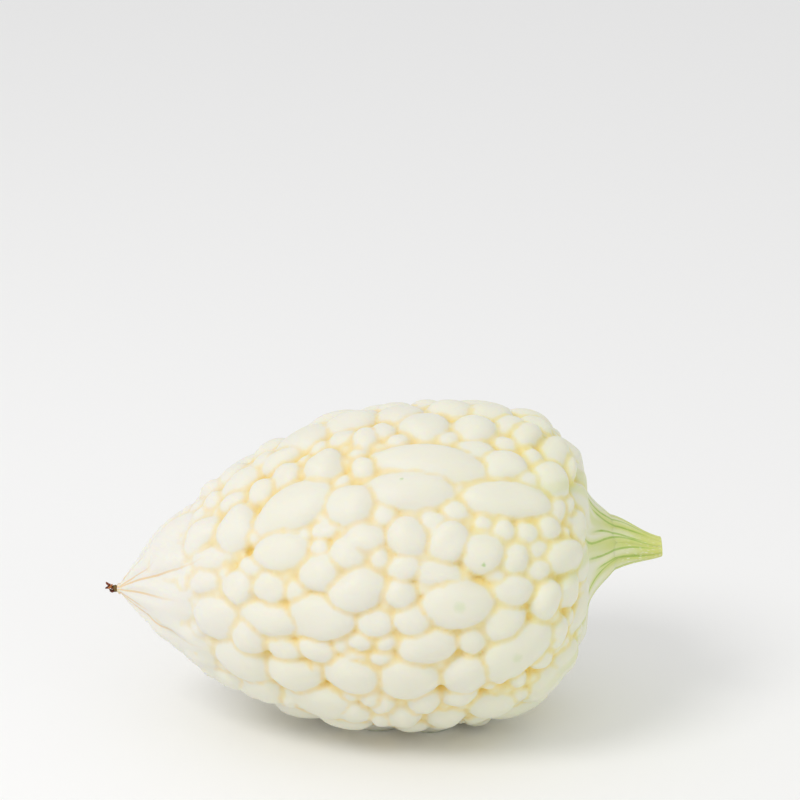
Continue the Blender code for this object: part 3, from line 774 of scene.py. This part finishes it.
# the fine tip creases are painted as peach lines: partly their tan colour, partly painted shade in creases
# too fine for the mesh
colour = waxy.mix(fold, colour, CREASE_PEACH_AND_SHADE)
colour = waxy.mix(neck, colour, NECK_PALE)
colour = waxy.growth(waxy.mix(vein * (0.34 + 0.25 * neck), colour, BAND_GREEN))
for speck_along, degrees, radius, strength, speck_colour in SPECKS:
    skin = np.array([fruit_outline.skin_of(speck_along / 100 * FRUIT_LENGTH)])
    spot = lay_down(raised(skin, np.array([math.radians(degrees)]), WART_HEIGHT))[0]
    away = waxy.node("ShaderNodeVectorMath", {"operation": "DISTANCE"}, {0: place, 1: tuple(spot)})
    ragged = Value(waxy, away.outputs["Value"]) + 0.0014 * fine - 0.0007
    shown = strength - strength * waxy.ease(ragged, 0.3 * radius * MM, radius * MM)
    colour = waxy.mix(shown, colour, speck_colour)
waxy.feed(waxy.shader.inputs["Base Color"], colour)
waxy.feed(waxy.shader.inputs["Roughness"], 0.42 + 0.14 * fine)
bump = waxy.node("ShaderNodeBump", {}, {"Strength": 0.12, "Distance": 0.0003, "Height": fine})
waxy.feed(waxy.shader.inputs["Normal"], bump.outputs["Normal"])
waxy.shader.inputs["Subsurface Weight"].default_value = 0.45
waxy.shader.inputs["Subsurface Radius"].default_value = (1.0, 0.75, 0.35)
waxy.shader.inputs["Subsurface Scale"].default_value = 0.003
waxy.shader.inputs["IOR"].default_value = 1.36
fruit.data.materials.clear()
fruit.data.materials.append(waxy.material)

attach(fruit, "root")
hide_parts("fruit")

# ---------------------------------------------------------------- the cut stalk
# The end of the vine's green stalk: firm, stringy and ribbed, grown on to the neck without a seam. It
# narrows to where a knife went through it, and the cut has dried to a pale, slightly hollow face.

STALK_CUT_DIAMETER = 0.0060
STALK_TAPER = 1.15
STALK_ROOT = 0.0012           # how far its foot reaches into the neck
FOOT_TUCK = 0.00012           # and how far under the neck's skin it starts
STALK_SEGMENTS = 180
STALK_RINGS = 96
FOOT_RING = 0.06              # shares of the rings that close the foot, run up the shank and round the rim
SHANK_RING = 0.78
RIM_RING = 0.82
RIM_ROUNDING = 0.0003
CUT_HOLLOW = 0.0005
SHANK_LUMPS = 0.00012         # the ribs are not quite even

bpy.ops.object.select_all(action="DESELECT")
bpy.ops.mesh.primitive_uv_sphere_add(segments=STALK_SEGMENTS, ring_count=STALK_RINGS, radius=1.0)
stalk = bpy.context.object
stalk.name = "cut_stalk"
globe = vertex_places(stalk.data)
ring = np.arccos(np.clip(globe[:, 2], -1, 1)) / math.pi
around = np.arctan2(globe[:, 1], globe[:, 0])
share = np.clip((ring - FOOT_RING) / (SHANK_RING - FOOT_RING), 0, 1)
inset = np.interp(ring, (0.0, FOOT_RING, RIM_RING, 1.0), (1.0, 0.0, 0.0, 1.0))
rounding = smooth_step(SHANK_RING, RIM_RING, ring)
settle = (1 - share) ** STALK_TAPER
radius = STALK_CUT_DIAMETER / 2 + (SEAT_DIAMETER - STALK_CUT_DIAMETER) / 2 * settle
radius += RIB_DEPTH * (0.45 + 0.55 * settle) * (ribs(around) - 1)
radius -= FOOT_TUCK * (1 - smooth_step(0.0, 0.12, share))
along = FRUIT_LENGTH + NECK_LENGTH - STALK_ROOT + share * (STALK_LENGTH + STALK_ROOT)
lumps = np.array([
    noise.noise(Vector((a * 160, 3 * math.cos(t), 3 * math.sin(t)))) for a, t in zip(along, around)
])
radius += SHANK_LUMPS * lumps * smooth_step(0.05, 0.2, share)
radius -= RIM_ROUNDING * rounding ** 2
at_cut = ring > RIM_RING
along -= np.where(at_cut, CUT_HOLLOW * smooth_step(0.0, 0.5, inset), 0.0)
along -= RIM_ROUNDING * 0.6 * (1 - rounding) * smooth_step(0.97, 1.0, share)
points = to_space(along, radius * (1 - inset), around)
stalk.data.vertices.foreach_set("co", lay_down(points).ravel())
stalk.data.flip_normals()
bpy.ops.object.shade_smooth_by_angle(angle=math.radians(50))
run = fruit_outline.length - STALK_ROOT + share * (STALK_LENGTH + STALK_ROOT)
paint_growth(stalk.data, run, around, np.where(at_cut, np.clip(inset, 0.02, 1), 0.0))
grain = stalk.data.attributes.new("grain", "FLOAT_VECTOR", "POINT")
grain_rows = np.column_stack((run, np.cos(around) * 0.009, np.sin(around) * 0.009))
grain.data.foreach_set("vector", grain_rows.astype(np.float32).ravel())

CUT_PALE = (0.70, 0.70, 0.40)
CUT_RIM = (0.48, 0.56, 0.18)
SHANK_YELLOW = (0.66, 0.66, 0.20)
DOT_WHITE = (0.84, 0.84, 0.70)
DOTS_PER_METRE = 1150.0

green = Finish("green_stalk")
place = green.node("ShaderNodeTexCoord", {}, {}).outputs["Object"]
layer = green.node("ShaderNodeAttribute", {"attribute_name": "growth"}, {}).outputs["Color"]
inside = Value(green, green.node("ShaderNodeSeparateColor", {}, {"Color": layer}).outputs["Blue"])
grain_way = green.node("ShaderNodeAttribute", {"attribute_name": "grain"}, {}).outputs["Vector"]
along = Value(green, green.node("ShaderNodeSeparateXYZ", {}, {"Vector": place}).outputs["X"])
lower = 1 - green.ease(green.value("ShaderNodeSeparateXYZ", {}, {"Vector": place}, 2), 0.052, 0.060)
drawn_out = green.node("ShaderNodeMapping", {}, {"Vector": grain_way, "Scale": (0.45, 1.0, 1.0)}).outputs[0]
dots = green.value("ShaderNodeTexVoronoi", {},
                   {"Vector": drawn_out, "Scale": DOTS_PER_METRE, "Randomness": 0.7})
fibre_way = green.node("ShaderNodeMapping", {}, {"Vector": grain_way, "Scale": (0.10, 1.0, 1.0)}).outputs[0]
fibre = green.value("ShaderNodeTexNoise", {}, {"Vector": fibre_way, "Scale": 1500.0, "Detail": 3.0})
fine = green.value("ShaderNodeTexNoise", {}, {"Vector": place, "Scale": 1600.0, "Detail": 3.0})

colour = green.growth(NECK_PALE)
colour = green.mix(green.ease(along, 0.074, 0.083) * (0.3 + 0.4 * fibre), colour, SHANK_YELLOW)
dotted = (1 - green.ease(dots, 0.16, 0.34)) * (0.15 + 0.65 * lower)
colour = green.mix(dotted * green.ease(along, 0.069, 0.073), colour, DOT_WHITE)
cut_colour = green.mix(green.ease(inside, 0.05, 0.35), CUT_RIM, CUT_PALE)
cut_colour = green.mix((1 - green.ease(dots, 0.2, 0.4)) * 0.5, cut_colour, CUT_RIM)
colour = green.mix(green.ease(inside, 0.0, 0.02), colour, cut_colour)
green.feed(green.shader.inputs["Base Color"], colour)
green.feed(green.shader.inputs["Roughness"], 0.50 + 0.2 * fine)
bump = green.node("ShaderNodeBump", {},
                  {"Strength": 0.35, "Distance": 0.0002, "Height": fibre + 0.4 * fine})
green.feed(green.shader.inputs["Normal"], bump.outputs["Normal"])
green.shader.inputs["Subsurface Weight"].default_value = 0.25
green.shader.inputs["Subsurface Radius"].default_value = (0.8, 1.0, 0.3)
green.shader.inputs["Subsurface Scale"].default_value = 0.0015
stalk.data.materials.clear()
stalk.data.materials.append(green.material)

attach(stalk, "root")
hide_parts("stem")

# ---------------------------------------------------------------- the dry end of the flower
# What is left of the flower on the blossom tip: a few shrivelled flakes, dark red-brown, orange and olive,
# brittle as paper and still grown on to the tip at a small dry stub.

# flakes: forward of the tip, up and to the back in millimetres, then length, width and thickness, then
# tilt and swing in degrees
FLAKES = (
    (0.2, 0.3, 0.0, 2.0, 1.8, 1.9, 10, 0),
    (-0.8, 0.3, 0.1, 1.9, 1.3, 0.8, 35, 15),
    (-1.5, 0.9, -0.1, 1.9, 1.2, 0.7, -40, -20),
    (-2.1, 1.7, 0.2, 1.7, 1.1, 0.7, 40, 30),
    (-2.3, 0.6, 0.4, 1.7, 1.1, 0.5, -10, 40),
    (-1.2, -0.4, -0.3, 1.6, 1.0, 0.6, 20, -35),
)
FLAKE_CURL = 0.35
FLAKE_RAGGEDNESS = 0.28

plain_flake = model_egg(4)
flakes = []
for number, (forward, up, back, long, wide, thick, tilt, swing) in enumerate(FLAKES):
    flake = plain_flake.copy()
    flake.data = plain_flake.data.copy()
    bpy.context.scene.collection.objects.link(flake)
    ball = vertex_places(flake.data)
    rough = np.array([noise.noise(Vector(p) * 2.2 + Vector((7.0 * number, 0, 0))) for p in ball])
    crumpled = ball * (1 + FLAKE_RAGGEDNESS * 2 * rough)[:, None]
    crumpled[:, 2] += FLAKE_CURL * (crumpled[:, 0] ** 2 - 0.4)
    crumpled *= np.array((long, wide, thick)) / 2 * MM
    turned = Matrix.Rotation(math.radians(swing), 3, "Z") @ Matrix.Rotation(math.radians(tilt), 3, "Y")
    spot = np.array((forward, back, up)) * MM
    flake.data.vertices.foreach_set("co", lay_down(crumpled @ np.array(turned).T + spot).ravel())
    tone = flake.data.attributes.new("tone", "FLOAT", "CORNER")
    tone.data.foreach_set("value", np.full(len(flake.data.loops), (number + 0.5) / len(FLAKES), np.float32))
    flakes.append(flake)
bpy.data.objects.remove(plain_flake)

dry_end = flakes[0]
for flake in flakes[1:]:
    grow = dry_end.modifiers.new("grow", "BOOLEAN")
    grow.operation = "UNION"
    grow.solver = "MANIFOLD"
    grow.object = flake
    lone(dry_end)
    bpy.ops.object.modifier_apply(modifier=grow.name)
    bpy.data.objects.remove(flake)
dry_end.name = "dry_flower_end"
lone(dry_end)
bpy.ops.object.shade_smooth_by_angle(angle=math.radians(40))

DRY_DARK = (0.055, 0.014, 0.008)
DRY_RED = (0.22, 0.05, 0.02)
DRY_ORANGE = (0.62, 0.24, 0.05)
DRY_OLIVE = (0.26, 0.26, 0.06)

dry = Finish("dry_flower")
place = dry.node("ShaderNodeTexCoord", {}, {}).outputs["Object"]
own = dry.node("ShaderNodeAttribute", {"attribute_name": "tone"}, {}).outputs["Fac"]
blotchy = dry.value("ShaderNodeTexNoise", {}, {"Vector": place, "Scale": 1300.0, "Detail": 4.0})
stops = ((0.0, DRY_OLIVE), (0.2, DRY_DARK), (0.4, DRY_ORANGE), (0.6, DRY_RED), (0.8, DRY_DARK))
ramp = dry.node("ShaderNodeValToRGB", {"stops": stops}, {"Fac": Value(dry, own)})
colour = dry.mix(0.7 * dry.ease(blotchy, 0.35, 0.65), ramp.outputs["Color"], DRY_RED)
dry.feed(dry.shader.inputs["Base Color"], colour)
dry.feed(dry.shader.inputs["Roughness"], 0.60 + 0.3 * blotchy)
bump = dry.node("ShaderNodeBump", {}, {"Strength": 0.6, "Distance": 0.0002, "Height": blotchy})
dry.feed(dry.shader.inputs["Normal"], bump.outputs["Normal"])
dry_end.data.materials.clear()
dry_end.data.materials.append(dry.material)

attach(dry_end, "root")
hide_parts("style_remnant")

# ---------------------------------------------------------------- the table, the light and the camera
# A plain pale table top, a broad window of light from the upper left, and a long lens.

bpy.ops.object.select_all(action="DESELECT")
bpy.ops.mesh.primitive_plane_add(size=6.0, location=(0, 0, 0))
table = bpy.context.object
table.name = "table_top"
pale = Finish("pale_table")
pale.shader.inputs["Base Color"].default_value = (0.93, 0.93, 0.93, 1.0)
pale.shader.inputs["Roughness"].default_value = 0.9
table.data.materials.append(pale.material)
table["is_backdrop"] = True

world = bpy.data.worlds.new("studio")
bpy.context.scene.world = world
world.use_nodes = True
world.node_tree.nodes["Background"].inputs["Color"].default_value = (1.0, 1.0, 1.0, 1.0)
world.node_tree.nodes["Background"].inputs["Strength"].default_value = 0.77


def add_window(name, place, size, strength, colour):
    light = bpy.data.lights.new(name, "AREA")
    light.shape = "DISK"
    light.size = size
    light.energy = strength
    light.color = colour
    lamp = bpy.data.objects.new(name, light)
    bpy.context.scene.collection.objects.link(lamp)
    lamp.location = place
    lamp.rotation_euler = (-Vector(place)).to_track_quat("-Z", "Y").to_euler()
    return lamp


add_window("window", (-0.7, -0.6, 1.1), 0.6, 6.2, (1.0, 0.99, 0.97))
add_window("fill", (0.9, -0.9, 0.5), 0.8, 0.8, (1.0, 1.0, 1.0))

ELEVATION = math.radians(22)
LENS = 135.0
SENSOR = 36.0
FRAME_SPAN = 0.240            # what the view takes in across, at the gourd
AIM_UP = 0.0489               # the view is aimed this far above the gourd's middle
AIM_RIGHT = 0.0051

camera_data = bpy.data.cameras.new("camera")
camera_data.lens = LENS
camera_data.sensor_width = SENSOR
camera = bpy.data.objects.new("camera", camera_data)
bpy.context.scene.collection.objects.link(camera)
middle = (cad_low + cad_high) / 2
distance = FRAME_SPAN * LENS / SENSOR
back = Vector((0, -math.cos(ELEVATION), math.sin(ELEVATION)))
up = Vector((0, math.sin(ELEVATION), math.cos(ELEVATION)))
camera.location = middle + back * distance
aim = middle + up * AIM_UP + Vector((AIM_RIGHT, 0, 0))
camera.rotation_euler = (aim - camera.location).to_track_quat("-Z", "Y").to_euler()
bpy.context.scene.camera = camera
bpy.context.scene.view_settings.view_transform = "Standard"

low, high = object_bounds()
